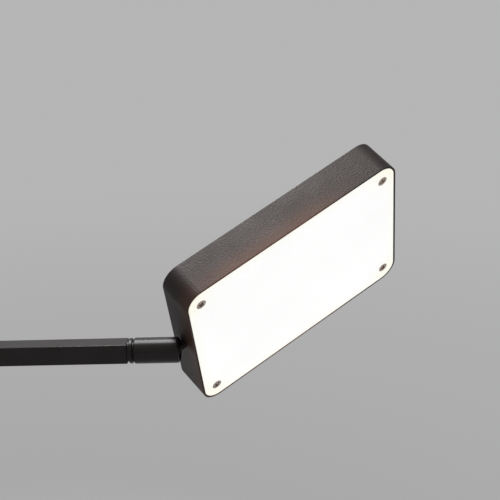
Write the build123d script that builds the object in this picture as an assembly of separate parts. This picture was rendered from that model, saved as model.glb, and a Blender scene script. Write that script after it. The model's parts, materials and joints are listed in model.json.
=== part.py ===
from build123d import *
import os

# Piano lamp: weighted base, square stem, swinging square arm and a flat square-shouldered head
# on a round swivel collar.  Millimetres, +Z up, origin at the centre of the underside of the base,
# arm along +X.

# ---- overall places ----
STEM_INSET = 42.0         # stem axis from the base's rear end
ARM_HEIGHT = 290.0        # arm axis above the table
ARM_REACH = 260.0         # elbow bolt to tilt pin
HEAD_TWIST = -54.8        # head turned about the arm as it stands
HEAD_TILT = -39.0         # head tilted on its knuckle as it stands

# ---- clearances ----
RUN_FIT = 0.05            # radial gap of a shaft in its bore
FACE_GAP = 0.1            # gap between faces that rub
SLIP = 0.1                # gap of a plug in its tube
CLEAR = 0.3               # gap between separate pieces of one body
HOLE_SPARE = 1.0          # blind hole past its screw's end
HEAD_ROOM = 1.0           # clear space round a screw's head
WALL_SKIN = 0.6           # wall left outside a blind hole

# ---- head ----
HEAD_LENGTH = 154.0
HEAD_WIDTH = 112.2
HEAD_DEPTH = 23.5
AXIS_TO_FACE = 11.5       # tilt pin to the lit face, along the head's depth
HEAD_CORNER = 11.4
HEAD_WALL = 2.2
HEAD_BACK = 2.0
BACK_EDGE = 0.4           # small radius round the back
RIM = 1.25                # thin lip that shows round the diffuser
DIFFUSER_THICKNESS = 2.5
DIFFUSER_GAP = 0.15
GASKET_THICKNESS = 0.5
SCREW_END_INSET = 10.0    # face screw from the head's end
SCREW_SIDE_INSET = 11.6   # face screw from the head's long side
FACE_SCREW = 3.5
FACE_SCREW_HEAD = 6.5
FACE_SCREW_LENGTH = 12.0
POST_DIAMETER = 8.0
RECESS_LENGTH = 3.9       # cross recess of the face screws
RECESS_WIDTH = 0.9
RECESS_DEPTH = 1.2
SPREADER_THICKNESS = 1.5
SPREADER_MARGIN = 9.0     # plate edge to the housing's inner wall at the long sides
SPREADER_END_MARGIN = 17.0
BOARD_THICKNESS = 1.2
BOARD_INSET = 3.0         # board edge inside the spreader's edge
LED_COLUMNS = 6
LED_ROWS = 4
LED_SIZE = 3.0
LED_HEIGHT = 0.8
BOARD_SCREW = 3.0
BOARD_SCREW_HEAD = 5.5
BOARD_SCREW_RISE = 1.6    # height of the screw's head
BOARD_SCREW_INSET = 5.0
PAD_HEIGHT = 2.0          # raised pad cast on the back wall, under each board screw
PAD_DIAMETER = 7.0
REFLECTOR_WALL = 1.0
REFLECTOR_SPREAD = 4.0    # how far the reflector's mouth stands outside its foot
REFLECTOR_INSET = 2.0
REFLECTOR_CORNER = 4.0
CONNECTOR_SIZE = (9.0, 5.0, 3.0)
CONNECTOR_WALL = 0.8

# ---- tilt knuckle ----
PIVOT_TO_HEAD = 7.2       # tilt pin to the head's end wall
TILT_PIN = 3.0
EYE_DIAMETER = 7.0
EYE_WIDTH = 6.0
NECK_HEIGHT = 4.0
NECK_WIDTH = 4.0
BRACKET_THICKNESS = 2.5
BRACKET_WIDTH = 26.0
BRACKET_HEIGHT = 12.0
BRACKET_SCREW = 2.5
BRACKET_SCREW_HEAD = 4.5
BRACKET_SCREW_RISE = 1.5
BRACKET_SCREW_SPACING = 18.0

# ---- swivel collar ----
COLLAR_DIAMETER = 15.4
COLLAR_WALL = 1.0
COLLAR_FRONT = 3.5        # collar past the tilt pin
COLLAR_LENGTH = 27.1
COLLAR_LIP = 0.6          # lip that turns in over the core's front
COLLAR_ROUND = 2.0
COLLAR_CHAMFER = 0.6
CORE_BORE = 10.4
CORE_BACK = 5.0           # solid end behind the core's bore
CORE_FLARE = 0.9          # bevel round the mouth of the bore
GROOVE_WIDTH = 0.75
GROOVE_DIAMETER = 12.4
RING_THICKNESS = 2.0
RING_DIAMETER = 15.0
RING_BEVEL = 0.3
NECK_LENGTH = 1.0         # round neck of the arm's end plug
NECK_DIAMETER = 12.8
SPIGOT_DIAMETER = 6.0
WIRE_BORE = 3.0
SHOE_LENGTH = 4.0
SHOE_HOLLOW = 1.2         # how far the shoe's horns reach round the eye
SHOE_SPRING = 8.4
SHOE_SPRING_TURNS = 4
SPRING_WIRE = 0.9
WIRE_SIDES = 8            # flats round a spring's wire
SPIGOT_SPARE = 1.0        # spigot past its nut
NUT_SLOT_WIDTH = 1.2
NUT_SLOT_DEPTH = 1.2
NUT_LENGTH = 3.0
NUT_DIAMETER = 8.6
SPRING_WASHER = 1.2

# ---- arm ----
TUBE_SIDE = 12.0
TUBE_WALL = 1.0
TUBE_CORNER = 0.8
TUBE_END_BEVEL = 0.4
PLUG_LENGTH = 12.0
TONGUE_WIDTH = 7.0
TONGUE_HEIGHT = 11.0
EYE_RADIUS = 7.0
SHOULDER_REACH = 14.0     # elbow bolt to the shoulder of the tongue
SHOULDER_LENGTH = 2.0
ROOT_PLUG_LENGTH = 22.0

# ---- elbow and stem head ----
ELBOW_BOLT = 5.0
ELBOW_HEAD = 9.0
ELBOW_HEAD_HEIGHT = 3.2
ELBOW_SOCKET = 3.4        # hexagon socket across its corners
ELBOW_SOCKET_DEPTH = 2.0
ELBOW_NUT = 9.2           # across its corners
ELBOW_NUT_TOP = 6.4       # flat top of the rounded nut
ELBOW_NUT_DOME = 1.6
ELBOW_WASHER = 0.5
ELBOW_WASHER_DIAMETER = 12.0
HUB_DIAMETER = 20.0
HUB_DROP = 34.0           # elbow bolt to the hub's underside
CHEEK_RISE = 9.0          # cheek above the elbow bolt
CHEEK_FLAT = 1.5          # depth of the flats on the fork's two sides
SLOT_DROP = 12.5          # fork slot below the elbow bolt
SWING_SPIGOT = 9.0
SWING_BORE = 5.0
SWING_RING = 1.2
SWING_RING_DIAMETER = 18.4
SWING_NUT = 12.0
SWING_NUT_LENGTH = 4.0
SWING_WASHER = 1.4
BOSS_LENGTH = 1.6
BOSS_DIAMETER = 16.0
TOP_PLUG_LENGTH = 12.0

# ---- stem ----
STEM_SIDE = 16.0
STEM_WALL = 1.4
STEM_CORNER = 1.0
FOOT_DIAMETER = 30.0
FOOT_HEIGHT = 5.0
FOOT_RIM = 1.5            # straight edge below the taper
FOOT_TAPER = 2.5
FOOT_PLUG = 18.0
FOOT_BOLT = 12.0
FOOT_WIRE_BORE = 6.0
WIRE_DOOR = 5.0           # cross hole for the wires
WIRE_DOOR_RISE = 6.0      # its axis above the plate
SPACER_DIAMETER = 18.0
STEM_WASHER = 2.0
STEM_WASHER_DIAMETER = 24.0
STEM_NUT = 19.0           # across flats
STEM_NUT_HEIGHT = 3.5

# ---- base ----
BASE_LENGTH = 204.0
BASE_WIDTH = 134.0
BASE_HEIGHT = 30.0        # top of the cover above the pad's underside
BASE_CORNER = 14.0
BASE_EDGE = 2.5
COVER_WALL = 2.0
PAD_THICKNESS = 2.0
PLATE_THICKNESS = 10.0
PLATE_GAP = 0.5           # plate to cover all round
PAD_MARGIN = 1.0          # pad's edge inside the plate's
SKIRT_LIFT = 1.0          # cover's edge above the pad's underside
COVER_BOSS = 9.0
COVER_SCREW = 4.0
COVER_SCREW_HEAD = 7.0
COVER_SCREW_RISE = 3.0
COVER_SOCKET = 3.0        # hexagon socket across its corners
COVER_SOCKET_DEPTH = 1.6
COVER_SCREW_LENGTH = 20.0
COVER_SCREW_INSET = 16.0
WELL_DIAMETER = 32.0      # pocket under the plate for the stem nut

# ---- switch and driver ----
BUTTON_INSET = 40.0       # button axis from the base's front end
BUTTON_DIAMETER = 16.0
BUTTON_PROUD = 2.5
BUTTON_DOME = 24.0        # radius of the domed top
BUTTON_TRAVEL = 1.5
BUTTON_FLANGE = 1.2
BUTTON_FLANGE_RIM = 1.6
BUTTON_STEM = 4.0
SWITCH_SIDE = 12.0
SWITCH_HEIGHT = 3.2
SWITCH_BEVEL = 0.5
SPRING_DIAMETER = 8.0
BUTTON_WIRE = 0.6
SPRING_TURNS = 4
BOARD_SETBACK = 32.0      # middle of the driver board behind the button
DRIVER_LENGTH = 84.0
DRIVER_WIDTH = 52.0
DRIVER_THICKNESS = 1.6
DRIVER_CORNER = 2.0
POST_HEIGHT = 4.0
POST_SIZE = 6.0
DRIVER_SCREW = 3.0
DRIVER_SCREW_HEAD = 5.5
DRIVER_SCREW_RISE = 1.8
DRIVER_HOLE_INSET = 5.0
CAN_DIAMETER = 7.0
CAN_LENGTH = 12.0
CAN_PLACE = (-22.0, 10.0)     # from the middle of the board
CHOKE_DIAMETER = 11.0
CHOKE_HOLE = 4.0
CHOKE_HEIGHT = 6.0
CHOKE_PLACE = (0.0, 12.0)
CHIP_SIZE = (8.0, 6.0, 1.6)
CHIP_PLACE = (4.0, -8.0)
BLOCK_SIZE = (10.0, 8.0, 7.0)
BLOCK_BEVEL = 1.5
BLOCK_PLACE = (-30.0, -12.0)

# ---- cord inlet ----
GLAND_DIAMETER = 12.0
GLAND_FLANGE = 16.0
GLAND_PROUD = 3.0
GLAND_BEVEL = 1.0
GLAND_BORE = 5.0
GLAND_LENGTH = 12.0
GLAND_NUT = 16.0
GLAND_NUT_LENGTH = 4.0
GLAND_HEIGHT = 20.0

# ---- worked out ----
STEM_X = STEM_INSET - BASE_LENGTH / 2
BUTTON_X = BASE_LENGTH / 2 - BUTTON_INSET
BOARD_X = BUTTON_X - BOARD_SETBACK
PIVOT_X = STEM_X + ARM_REACH
COLLAR_BACK = COLLAR_FRONT - COLLAR_LENGTH
GROOVE_BACK = COLLAR_BACK - GROOVE_WIDTH
RING_BACK = GROOVE_BACK - FACE_GAP - RING_THICKNESS
TUBE_END = RING_BACK - NECK_LENGTH
CORE_FRONT = COLLAR_FRONT - COLLAR_LIP - 2 * FACE_GAP
CORE_DIAMETER = COLLAR_DIAMETER - 2 * COLLAR_WALL - 2 * RUN_FIT
CORE_FLOOR = COLLAR_BACK + CORE_BACK
SHOE_FRONT = SHOE_HOLLOW - EYE_DIAMETER / 2 - FACE_GAP
SHOE_BACK = SHOE_FRONT - SHOE_LENGTH
FACE = -AXIS_TO_FACE
BACK = FACE + HEAD_DEPTH
HEAD_MIDDLE = PIVOT_TO_HEAD + HEAD_LENGTH / 2
INNER_LENGTH = HEAD_LENGTH - 2 * HEAD_WALL
INNER_WIDTH = HEAD_WIDTH - 2 * HEAD_WALL
BACK_INSIDE = BACK - HEAD_BACK
LEDGE = FACE + DIFFUSER_THICKNESS + GASKET_THICKNESS
SPREADER_TOP = BACK_INSIDE - PAD_HEIGHT
BOARD_TOP = SPREADER_TOP - SPREADER_THICKNESS
BOARD_FACE = BOARD_TOP - BOARD_THICKNESS
SPREADER_LENGTH = INNER_LENGTH - 2 * SPREADER_END_MARGIN
SPREADER_WIDTH = INNER_WIDTH - 2 * SPREADER_MARGIN
BOARD_LENGTH = SPREADER_LENGTH - 2 * BOARD_INSET
BOARD_WIDTH = SPREADER_WIDTH - 2 * BOARD_INSET
FACE_SCREW_X = HEAD_LENGTH / 2 - SCREW_END_INSET
FACE_SCREW_Y = HEAD_WIDTH / 2 - SCREW_SIDE_INSET
HUB_BOTTOM = ARM_HEIGHT - HUB_DROP
SLOT_WIDTH = TONGUE_WIDTH + 2 * ELBOW_WASHER + 2 * FACE_GAP
STEM_TOP = HUB_BOTTOM - FACE_GAP - SWING_RING - BOSS_LENGTH
PLATE_TOP = PAD_THICKNESS + PLATE_THICKNESS
COVER_SCREW_SEAT = PAD_THICKNESS + COVER_SCREW_RISE
COVER_SCREW_TIP = COVER_SCREW_SEAT + COVER_SCREW_LENGTH
COVER_INSIDE = BASE_HEIGHT - COVER_WALL
STEM_BOTTOM = BASE_HEIGHT + FOOT_HEIGHT
WELL_TOP = PAD_THICKNESS + STEM_WASHER + STEM_NUT_HEIGHT
BOARD_LEVEL = PLATE_TOP + POST_HEIGHT
DRIVER_TOP = BOARD_LEVEL + DRIVER_THICKNESS
SWITCH_TOP = DRIVER_TOP + SWITCH_HEIGHT
FLANGE_TOP = COVER_INSIDE - CLEAR

os.makedirs("parts", exist_ok=True)


# ---- plain shapes ----
def rod(diameter, start, end):
    """Round bar along X from start to end."""
    bar = Cylinder(diameter / 2, end - start, align=(Align.CENTER, Align.CENTER, Align.MIN))
    return Pos(start, 0, 0) * Rot(0, 90, 0) * bar


def post(diameter, bottom, top):
    """Round bar along Z from bottom to top."""
    bar = Cylinder(diameter / 2, top - bottom, align=(Align.CENTER, Align.CENTER, Align.MIN))
    return Pos(0, 0, bottom) * bar


def pin(diameter, start, end):
    """Round bar along Y from start to end."""
    return Pos(0, start, 0) * Rot(-90, 0, 0) * post(diameter, 0, end - start)


def bar(length, width, height, x=0.0, y=0.0, z=0.0):
    """Block whose low X and low Z are given, and which is centred on Y."""
    return Pos(x, y, z) * Box(length, width, height, align=(Align.MIN, Align.CENTER, Align.MIN))


def slab(length, width, corner, bottom, top):
    """Rounded rectangle standing from bottom to top, centred on X and Y."""
    return Pos(0, 0, bottom) * extrude(RectangleRounded(length, width, corner), top - bottom)


def square_bar(side, corner, start, end):
    """Square bar along X with rounded long edges."""
    return Pos(start, 0, 0) * Rot(0, 90, 0) * extrude(RectangleRounded(side, side, corner), end - start)


def turned(points):
    """Round piece along X, from the (x, radius) points of its half section."""
    outline = Polyline(*[(x, radius) for x, radius in points], close=True)
    return revolve(make_face(outline), Axis.X, 360)


def upright(piece):
    """Stands a piece that was made along X on end, along Z."""
    return Rot(0, -90, 0) * piece


def each_at(piece, places):
    """Copies of a piece at (x, y) places, as one group."""
    return [Pos(x, y, 0) * piece for x, y in places]


def corners(x, y):
    return [(x, y), (-x, y), (-x, -y), (x, -y)]


def group(solids):
    return Compound(children=list(solids))


def screw(diameter, head, head_height, length):
    """Pan head screw along Z: the underside of its head at zero, shank downwards."""
    return post(head, 0, head_height) + post(diameter, -length, 0)


def save(name, piece):
    export_step(piece, f"parts/{name}.step")


# ---- placing ----
def at_head(piece):
    """Puts a piece from the head's own frame, tilt pin at its origin, where the head stands."""
    return Pos(PIVOT_X, 0, ARM_HEIGHT) * Rot(HEAD_TWIST, 0, 0) * Rot(0, HEAD_TILT, 0) * piece


def at_collar(piece):
    """Puts a piece from the collar's own frame, tilt pin at its origin."""
    return Pos(PIVOT_X, 0, ARM_HEIGHT) * Rot(HEAD_TWIST, 0, 0) * piece


def at_arm_end(piece):
    return Pos(PIVOT_X, 0, ARM_HEIGHT) * piece


def at_elbow(piece):
    return Pos(STEM_X, 0, ARM_HEIGHT) * piece


def on_stem(piece):
    return Pos(STEM_X, 0, 0) * piece


def in_place(piece):
    """For a piece that is made where it stands."""
    return piece


# ---- head: its own frame has the tilt pin at the origin, X along the head, light facing -Z ----
def head_housing():
    """Cast tray: thin rim and ledge for the plate, screw posts, board pads and the bracket's slot."""
    shell = slab(HEAD_LENGTH, HEAD_WIDTH, HEAD_CORNER, FACE, BACK)
    shell = fillet(shell.faces().sort_by(Axis.Z)[-1].edges(), BACK_EDGE)
    inner_corner = HEAD_CORNER - HEAD_WALL
    shell -= slab(INNER_LENGTH, INNER_WIDTH, inner_corner, FACE, BACK_INSIDE)
    mouth = slab(HEAD_LENGTH - 2 * RIM, HEAD_WIDTH - 2 * RIM, HEAD_CORNER - RIM, FACE, LEDGE)
    shell -= mouth
    for place in each_at(post(POST_DIAMETER, LEDGE, BACK_INSIDE), corners(FACE_SCREW_X, FACE_SCREW_Y)):
        shell += place
    depth = FACE_SCREW_LENGTH + HOLE_SPARE
    for place in each_at(post(FACE_SCREW + 2 * SLIP, FACE, FACE + depth),
                         corners(FACE_SCREW_X, FACE_SCREW_Y)):
        shell -= place
    for place in each_at(post(PAD_DIAMETER, SPREADER_TOP, BACK_INSIDE), board_screw_places()):
        shell += place
    hole = post(BOARD_SCREW + 2 * SLIP, SPREADER_TOP, BACK_INSIDE + HOLE_SPARE)
    for place in each_at(hole, board_screw_places()):
        shell -= place
    shell = Pos(HEAD_MIDDLE, 0, 0) * shell
    slot = bar(2 * HEAD_WALL, NECK_WIDTH + 2 * SLIP, NECK_HEIGHT + 2 * SLIP,
               PIVOT_TO_HEAD - HEAD_WALL / 2, 0, -NECK_HEIGHT / 2 - SLIP)
    shell -= slot
    for side in (-1, 1):
        shell -= Pos(0, side * BRACKET_SCREW_SPACING / 2, 0) * bracket_screw_hole()
    return shell


def bracket_screw_hole():
    """Blind hole, from inside, that leaves the outside of the end wall whole."""
    return rod(BRACKET_SCREW + 2 * SLIP, PIVOT_TO_HEAD + WALL_SKIN, PIVOT_TO_HEAD + HEAD_WALL)


def board_screw_places():
    x = BOARD_LENGTH / 2 - BOARD_SCREW_INSET
    y = BOARD_WIDTH / 2 - BOARD_SCREW_INSET
    return corners(x, y)


def diffuser_plate():
    """Opal plate, flush with the rim, with four countersunk holes."""
    cut = RIM + DIFFUSER_GAP
    plate = slab(HEAD_LENGTH - 2 * cut, HEAD_WIDTH - 2 * cut, HEAD_CORNER - cut,
                 FACE, FACE + DIFFUSER_THICKNESS)
    for place in each_at(face_screw_blank(2 * SLIP), corners(FACE_SCREW_X, FACE_SCREW_Y)):
        plate -= place
    return Pos(HEAD_MIDDLE, 0, 0) * plate


def face_screw_blank(extra=0.0):
    """Countersunk screw along Z, its flat head level with the lit face; extra opens it as a hole."""
    head = FACE_SCREW_HEAD / 2 + extra / 2
    shank = FACE_SCREW / 2 + extra / 2
    cone = head - shank
    outline = [(0, 0), (0, head), (cone, shank), (FACE_SCREW_LENGTH, shank), (FACE_SCREW_LENGTH, 0)]
    return Pos(0, 0, FACE) * upright(turned(outline))


def face_screw():
    """Face screw with its cross recess."""
    slot = Box(RECESS_LENGTH, RECESS_WIDTH, 2 * RECESS_DEPTH)
    cross = slot + Rot(0, 0, 90) * slot
    return face_screw_blank() - Pos(0, 0, FACE) * cross


def diffuser_screws():
    screws = each_at(face_screw(), corners(FACE_SCREW_X, FACE_SCREW_Y))
    return group(Pos(HEAD_MIDDLE, 0, 0) * one for one in screws)


def face_gasket():
    """Thin rubber frame between the plate and the housing's ledge."""
    cut = RIM + DIFFUSER_GAP
    width = HEAD_WALL - RIM
    bottom = FACE + DIFFUSER_THICKNESS
    ring = slab(HEAD_LENGTH - 2 * cut, HEAD_WIDTH - 2 * cut, HEAD_CORNER - cut, bottom, LEDGE)
    ring -= slab(HEAD_LENGTH - 2 * cut - 2 * width, HEAD_WIDTH - 2 * cut - 2 * width,
                 HEAD_CORNER - cut - width, bottom, LEDGE)
    return Pos(HEAD_MIDDLE, 0, 0) * ring


def heat_spreader():
    """Aluminium plate on the back wall's pads."""
    plate = slab(SPREADER_LENGTH, SPREADER_WIDTH, PAD_DIAMETER / 2, BOARD_TOP, SPREADER_TOP)
    for place in each_at(post(BOARD_SCREW + 2 * SLIP, BOARD_TOP, SPREADER_TOP), board_screw_places()):
        plate -= place
    return Pos(HEAD_MIDDLE, 0, 0) * plate


def led_board():
    plate = slab(BOARD_LENGTH, BOARD_WIDTH, PAD_DIAMETER / 2, BOARD_FACE, BOARD_TOP)
    for place in each_at(post(BOARD_SCREW + 2 * SLIP, BOARD_FACE, BOARD_TOP), board_screw_places()):
        plate -= place
    return Pos(HEAD_MIDDLE, 0, 0) * plate


def led_chips():
    """Even grid of lamps on the board's face."""
    pitch_x = BOARD_LENGTH / (LED_COLUMNS + 1)
    pitch_y = BOARD_WIDTH / (LED_ROWS + 1)
    chips = []
    for place in GridLocations(pitch_x, pitch_y, LED_COLUMNS, LED_ROWS):
        chip = Box(LED_SIZE, LED_SIZE, LED_HEIGHT, align=(Align.CENTER, Align.CENTER, Align.MAX))
        chips.append(Pos(HEAD_MIDDLE, 0, BOARD_FACE) * place * chip)
    return group(chips)


def board_screws():
    """Pan head screws through board and spreader into the pads."""
    length = BOARD_TOP - BOARD_FACE + SPREADER_THICKNESS + PAD_HEIGHT
    one = screw(BOARD_SCREW, BOARD_SCREW_HEAD, BOARD_SCREW_RISE, length)
    one = Pos(0, 0, BOARD_FACE) * Rot(180, 0, 0) * one
    return group(Pos(HEAD_MIDDLE, 0, 0) * place for place in each_at(one, board_screw_places()))


def reflector_frame():
    """White frame with sloping sides that stands on the board and opens towards the plate."""
    foot_length = BOARD_LENGTH - 2 * REFLECTOR_INSET
    foot_width = BOARD_WIDTH - 2 * REFLECTOR_INSET
    depth = BOARD_FACE - LEDGE - CLEAR
    outer = frustum(foot_length, foot_width, depth, 0)
    inner = frustum(foot_length, foot_width, depth, REFLECTOR_WALL)
    frame = outer - inner
    for place in each_at(post(BOARD_SCREW_HEAD + 2 * HEAD_ROOM, LEDGE, BOARD_FACE), board_screw_places()):
        frame -= place
    return Pos(HEAD_MIDDLE, 0, 0) * frame


def frustum(length, width, depth, inset):
    """Rounded taper from the board's face down towards the plate."""
    length -= 2 * inset
    width -= 2 * inset
    grow = 2 * REFLECTOR_SPREAD
    foot = RectangleRounded(length, width, REFLECTOR_CORNER)
    mouth = RectangleRounded(length + grow, width + grow, REFLECTOR_CORNER + REFLECTOR_SPREAD / 2)
    return loft([Pos(0, 0, BOARD_FACE - depth) * mouth, Pos(0, 0, BOARD_FACE) * foot])


def wire_connector():
    """Two-way plug socket on the board's face, at the arm's end."""
    length, width, height = CONNECTOR_SIZE
    start = HEAD_MIDDLE - BOARD_LENGTH / 2 + BOARD_SCREW_INSET
    body = bar(length, width, height, start, 0, BOARD_FACE - height)
    pocket = bar(length - CONNECTOR_WALL, width - 2 * CONNECTOR_WALL, height - 2 * CONNECTOR_WALL,
                 start, 0, BOARD_FACE - height + CONNECTOR_WALL)
    return body - pocket


# ---- tilt knuckle ----
def tilt_bracket():
    """Eye on the tilt pin, flat neck through the end wall, and a plate inside it."""
    inside = PIVOT_TO_HEAD + HEAD_WALL
    bracket = pin(EYE_DIAMETER, -EYE_WIDTH / 2, EYE_WIDTH / 2)
    bracket += bar(inside, NECK_WIDTH, NECK_HEIGHT, 0, 0, -NECK_HEIGHT / 2)
    bracket += bar(BRACKET_THICKNESS, BRACKET_WIDTH, BRACKET_HEIGHT, inside, 0, -BRACKET_HEIGHT / 2)
    bracket -= pin(TILT_PIN + 2 * RUN_FIT, -EYE_WIDTH, EYE_WIDTH)
    for side in (-1, 1):
        hole = rod(BRACKET_SCREW + 2 * SLIP, inside, inside + BRACKET_THICKNESS)
        bracket -= Pos(0, side * BRACKET_SCREW_SPACING / 2, 0) * hole
    return bracket


def bracket_screws():
    """Two short screws that hold the bracket's plate to the end wall."""
    seat = PIVOT_TO_HEAD + HEAD_WALL + BRACKET_THICKNESS
    tip = PIVOT_TO_HEAD + WALL_SKIN + SLIP
    one = rod(BRACKET_SCREW_HEAD, seat, seat + BRACKET_SCREW_RISE) + rod(BRACKET_SCREW, tip, seat)
    half = BRACKET_SCREW_SPACING / 2
    return group([Pos(0, half, 0) * one, Pos(0, -half, 0) * one])


def knuckle_core():
    """Turned core inside the collar: bored for the eye, with a hollow spigot into the arm."""
    radius = CORE_DIAMETER / 2
    spigot_end = TUBE_END - PLUG_LENGTH - SPRING_WASHER - NUT_LENGTH - SPIGOT_SPARE
    outline = [(CORE_FRONT, radius), (COLLAR_BACK, radius), (COLLAR_BACK, GROOVE_DIAMETER / 2),
               (GROOVE_BACK, GROOVE_DIAMETER / 2), (GROOVE_BACK, SPIGOT_DIAMETER / 2),
               (spigot_end, SPIGOT_DIAMETER / 2), (spigot_end, WIRE_BORE / 2),
               (CORE_FLOOR, WIRE_BORE / 2), (CORE_FLOOR, CORE_BORE / 2),
               (CORE_FRONT - CORE_FLARE, CORE_BORE / 2), (CORE_FRONT, CORE_BORE / 2 + CORE_FLARE)]
    return turned(outline) - pin(TILT_PIN, -CORE_DIAMETER, CORE_DIAMETER)


def tilt_pin():
    """Plain pin held in the core's two walls and covered by the collar."""
    half = CORE_DIAMETER / 2 - CLEAR
    return pin(TILT_PIN, -half, half)


def collar_sleeve():
    """Plain round sleeve over the core: chamfered at the arm, rounded and lipped at the head."""
    radius = COLLAR_DIAMETER / 2
    sleeve = rod(COLLAR_DIAMETER, COLLAR_BACK, COLLAR_FRONT)
    sleeve = fillet(sleeve.edges().sort_by(Axis.X)[-1], COLLAR_ROUND)
    sleeve = chamfer(sleeve.edges().sort_by(Axis.X)[0], COLLAR_CHAMFER)
    sleeve -= rod(CORE_DIAMETER + 2 * RUN_FIT, COLLAR_BACK, COLLAR_FRONT - COLLAR_LIP - FACE_GAP)
    return sleeve - rod(2 * (radius - COLLAR_WALL - COLLAR_LIP), COLLAR_BACK, COLLAR_FRONT)


def friction_shoe():
    """Nylon shoe with a hollow face that rubs the eye and a hole for the wires."""
    shoe = rod(CORE_BORE - 2 * SLIP, SHOE_BACK, SHOE_FRONT)
    shoe -= pin(EYE_DIAMETER + 2 * FACE_GAP, -CORE_BORE, CORE_BORE)
    return shoe - rod(WIRE_BORE, SHOE_BACK, SHOE_FRONT)


def shoe_spring():
    """Coil between the core's floor and the shoe."""
    spring = coil(SHOE_SPRING, SPRING_WIRE, SHOE_BACK - CORE_FLOOR, SHOE_SPRING_TURNS)
    return Rot(0, 90, 0) * Pos(0, 0, CORE_FLOOR) * spring


def coil(diameter, wire, length, turns):
    """Compression spring along Z from zero to length, outside diameter given."""
    pitch = (length - wire) / turns
    path = Helix(pitch, length - wire, (diameter - wire) / 2)
    section = Plane(path @ 0, z_dir=path % 0) * RegularPolygon(wire / 2, WIRE_SIDES)
    return Pos(0, 0, wire / 2) * sweep(section, path)


def swivel_ring():
    """Bevelled bearing ring between the plug's neck and the core."""
    ring = rod(RING_DIAMETER, RING_BACK, RING_BACK + RING_THICKNESS)
    ring = chamfer(ring.edges().filter_by(GeomType.CIRCLE), RING_BEVEL)
    return ring - rod(SPIGOT_DIAMETER + 2 * RUN_FIT, RING_BACK, RING_BACK + RING_THICKNESS)


def arm_end_plug():
    """Square plug in the tube's end with a round neck and a plain bearing bore."""
    plug = square_bar(TUBE_SIDE - 2 * TUBE_WALL - 2 * SLIP, TUBE_CORNER, TUBE_END - PLUG_LENGTH, TUBE_END)
    plug += rod(NECK_DIAMETER, TUBE_END, RING_BACK)
    return plug - rod(SPIGOT_DIAMETER + 2 * RUN_FIT, TUBE_END - PLUG_LENGTH, RING_BACK)


def swivel_washer():
    """Dished spring washer behind the plug."""
    back = TUBE_END - PLUG_LENGTH - FACE_GAP
    return dished_washer(back - SPRING_WASHER, back, NUT_DIAMETER, SPIGOT_DIAMETER + 2 * SLIP)


def dished_washer(start, end, diameter, bore):
    """Cone-shaped washer along X between start and end, its rim towards end."""
    sheet = (end - start) / 2
    outline = [(start, bore / 2), (start + sheet, bore / 2),
               (end, diameter / 2), (end - sheet, diameter / 2)]
    return turned(outline)


def swivel_nut():
    """Round slotted nut on the core's spigot."""
    end = TUBE_END - PLUG_LENGTH - FACE_GAP - SPRING_WASHER
    nut = rod(NUT_DIAMETER, end - NUT_LENGTH, end)
    nut -= bar(NUT_SLOT_DEPTH, 2 * NUT_DIAMETER, NUT_SLOT_WIDTH,
               end - NUT_LENGTH, 0, -NUT_SLOT_WIDTH / 2)
    return nut - rod(SPIGOT_DIAMETER, end - NUT_LENGTH, end)


# ---- arm ----
def arm_tube():
    start = STEM_X + SHOULDER_REACH + SHOULDER_LENGTH
    end = PIVOT_X + TUBE_END
    tube = square_bar(TUBE_SIDE, TUBE_CORNER, start, end)
    tube = chamfer(tube.faces().sort_by(Axis.X)[-1].edges(), TUBE_END_BEVEL)
    tube -= square_bar(TUBE_SIDE - 2 * TUBE_WALL, TUBE_CORNER, start, end)
    return Pos(0, 0, ARM_HEIGHT) * tube


def arm_root_tongue():
    """Tongue with a round eye for the elbow bolt, a shoulder and a square plug in the tube."""
    shoulder_end = SHOULDER_REACH + SHOULDER_LENGTH
    piece = pin(2 * EYE_RADIUS, -TONGUE_WIDTH / 2, TONGUE_WIDTH / 2)
    piece += bar(SHOULDER_REACH, TONGUE_WIDTH, TONGUE_HEIGHT, 0, 0, -TONGUE_HEIGHT / 2)
    piece += square_bar(TUBE_SIDE, TUBE_CORNER, SHOULDER_REACH, shoulder_end)
    piece += square_bar(TUBE_SIDE - 2 * TUBE_WALL - 2 * SLIP, TUBE_CORNER,
                        shoulder_end, shoulder_end + ROOT_PLUG_LENGTH)
    piece -= pin(ELBOW_BOLT + 2 * RUN_FIT, -TONGUE_WIDTH, TONGUE_WIDTH)
    wires = rod(WIRE_BORE, EYE_RADIUS, shoulder_end + ROOT_PLUG_LENGTH)
    return piece - wires


def elbow_washers():
    """A thin friction washer on each side of the eye."""
    inner = TONGUE_WIDTH / 2
    outer = inner + ELBOW_WASHER
    one = pin(ELBOW_WASHER_DIAMETER, inner, outer) - pin(ELBOW_BOLT + 2 * RUN_FIT, inner, outer)
    return group([one, Rot(0, 0, 180) * one])


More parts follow.
